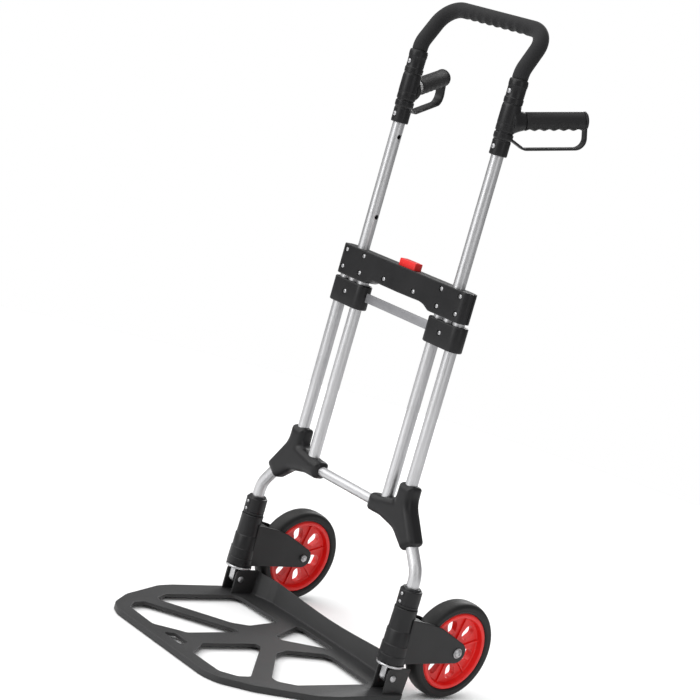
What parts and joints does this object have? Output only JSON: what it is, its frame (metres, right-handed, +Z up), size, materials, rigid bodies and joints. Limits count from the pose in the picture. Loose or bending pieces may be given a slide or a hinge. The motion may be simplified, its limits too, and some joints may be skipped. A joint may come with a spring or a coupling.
{
  "type": "folding hand truck",
  "caption": "Upright two-wheeled hand truck with a slotted toe plate that folds up, wheels that fold in, a telescopic loop handle and swivelling side grips.",
  "frame": {"origin": "on the floor, at the middle of the footprint of plate and wheels", "axes": "+Z up; the load and the toe plate lie towards -Y and the wheels towards +Y; +X runs from the left column to the right one; at rest the plate is down, the wheels are out and the handle is fully raised"},
  "size_m": [0.503, 0.5452, 1.1707],
  "materials": {
    "tube_aluminium": "satin anodised, finely drawn",
    "black_plastic": "moulded, fine grain",
    "soft_black": "soft foam and soft rubber",
    "tyre_rubber": "solid rubber",
    "red_hub": "semi-gloss moulded",
    "red_button": "semi-gloss moulded",
    "plate_coating": "textured powder coat",
    "grey_strap": "satin grey",
    "grey_zinc": "zinc plated",
    "bright_steel": "bright plated",
    "grey_bush": "plain moulded"
  },
  "bodies": {
    "frame": {"outer_tube_left": "tube_aluminium", "outer_tube_right": "tube_aluminium", "inner_tube_left": "tube_aluminium", "inner_tube_right": "tube_aluminium", "cross_tube": "tube_aluminium", "y_joint_left": "black_plastic", "y_joint_right": "black_plastic", "crossbar_front": "black_plastic", "crossbar_rear": "black_plastic", "clamp_block_left": "black_plastic", "clamp_block_right": "black_plastic", "column_collar_left": "black_plastic", "column_collar_right": "black_plastic", "brace_strap": "grey_strap", "washer_ring_left": "grey_zinc", "washer_ring_right": "grey_zinc", "hinge_lug_left": "grey_zinc", "hinge_lug_right": "grey_zinc", "pivot_bolt_left": "bright_steel", "pivot_bolt_right": "bright_steel", "pivot_nut_left": "bright_steel", "pivot_nut_right": "bright_steel", "clamp_screw_left": "bright_steel", "clamp_screw_right": "bright_steel", "crossbar_screw_01": "bright_steel", "crossbar_screw_02": "bright_steel", "crossbar_screw_03": "bright_steel", "crossbar_screw_04": "bright_steel", "crossbar_screw_05": "bright_steel", "crossbar_screw_06": "bright_steel", "crossbar_screw_07": "bright_steel", "crossbar_screw_08": "bright_steel", "crossbar_screw_09": "bright_steel", "crossbar_screw_10": "bright_steel"},
    "toe_plate": {"toe_plate": "plate_coating"},
    "handle": {"handle_tube": "tube_aluminium", "foam_grip": "soft_black", "handle_collar_left": "black_plastic", "handle_collar_right": "black_plastic", "collar_screw_left": "bright_steel", "collar_screw_right": "bright_steel"},
    "release_button": {"release_button": "red_button"},
    "wheel_bracket_left": {"wheel_bracket_left": "black_plastic", "axle_bolt_left": "bright_steel", "axle_nut_left": "bright_steel"},
    "wheel_left": {"tyre_left": "tyre_rubber", "wheel_hub_left": "red_hub", "wheel_bush_left": "grey_bush"},
    "side_grip_left": {"grip_arm_left": "black_plastic", "grip_rubber_left": "soft_black"},
    "lock_pin_left": {"lock_pin_left": "bright_steel"},
    "wheel_bracket_right": {"wheel_bracket_right": "black_plastic", "axle_bolt_right": "bright_steel", "axle_nut_right": "bright_steel"},
    "wheel_right": {"tyre_right": "tyre_rubber", "wheel_hub_right": "red_hub", "wheel_bush_right": "grey_bush"},
    "side_grip_right": {"grip_arm_right": "black_plastic", "grip_rubber_right": "soft_black"},
    "lock_pin_right": {"lock_pin_right": "bright_steel"}
  },
  "joints": [
    {"name": "plate_fold", "type": "hinge", "parent": "frame", "child": "toe_plate", "pos_m": [0, 0.0514, 0.04], "axis": [-1, 0, 0], "range_deg": [0, 90]},
    {"name": "bracket_swing_left", "type": "hinge", "parent": "frame", "child": "wheel_bracket_left", "pos_m": [-0.223, 0.0514, 0.115], "axis": [0, 0, -1], "range_deg": [0, 90]},
    {"name": "bracket_swing_right", "type": "hinge", "parent": "frame", "child": "wheel_bracket_right", "pos_m": [0.223, 0.0514, 0.115], "axis": [0, 0, 1], "range_deg": [0, 90]},
    {"name": "wheel_spin_left", "type": "hinge", "parent": "wheel_bracket_left", "child": "wheel_left", "pos_m": [-0.223, 0.1834, 0.0895], "axis": [1, 0, 0], "continuous": true},
    {"name": "wheel_spin_right", "type": "hinge", "parent": "wheel_bracket_right", "child": "wheel_right", "pos_m": [0.223, 0.1834, 0.0895], "axis": [1, 0, 0], "continuous": true},
    {"name": "handle_slide", "type": "slide", "parent": "frame", "child": "handle", "axis": [0, 0, 1], "range_m": [-0.213, 0]},
    {"name": "side_grip_swivel_left", "type": "hinge", "parent": "handle", "child": "side_grip_left", "pos_m": [-0.129, 0.0514, 0.98], "axis": [0, 0, 1], "range_deg": [-60, 66]},
    {"name": "side_grip_swivel_right", "type": "hinge", "parent": "handle", "child": "side_grip_right", "pos_m": [0.129, 0.0514, 0.98], "axis": [0, 0, 1], "range_deg": [-66, 60]},
    {"name": "button_press", "type": "slide", "parent": "frame", "child": "release_button", "axis": [0, 0, -1], "range_m": [0, 0.005], "stiffness_N_per_m": 800, "springref_m": -0.004},
    {"name": "pin_draw_left", "type": "slide", "parent": "frame", "child": "lock_pin_left", "axis": [1, 0, 0], "range_m": [0, 0.0045]},
    {"name": "pin_draw_right", "type": "slide", "parent": "frame", "child": "lock_pin_right", "axis": [-1, 0, 0], "range_m": [0, 0.0045]}
  ],
  "couplings": [
    {"joint": "bracket_swing_left", "follows": "plate_fold", "ratio": 1},
    {"joint": "bracket_swing_right", "follows": "plate_fold", "ratio": 1},
    {"joint": "pin_draw_left", "follows": "button_press", "ratio": 0.9},
    {"joint": "pin_draw_right", "follows": "button_press", "ratio": 0.9}
  ]
}
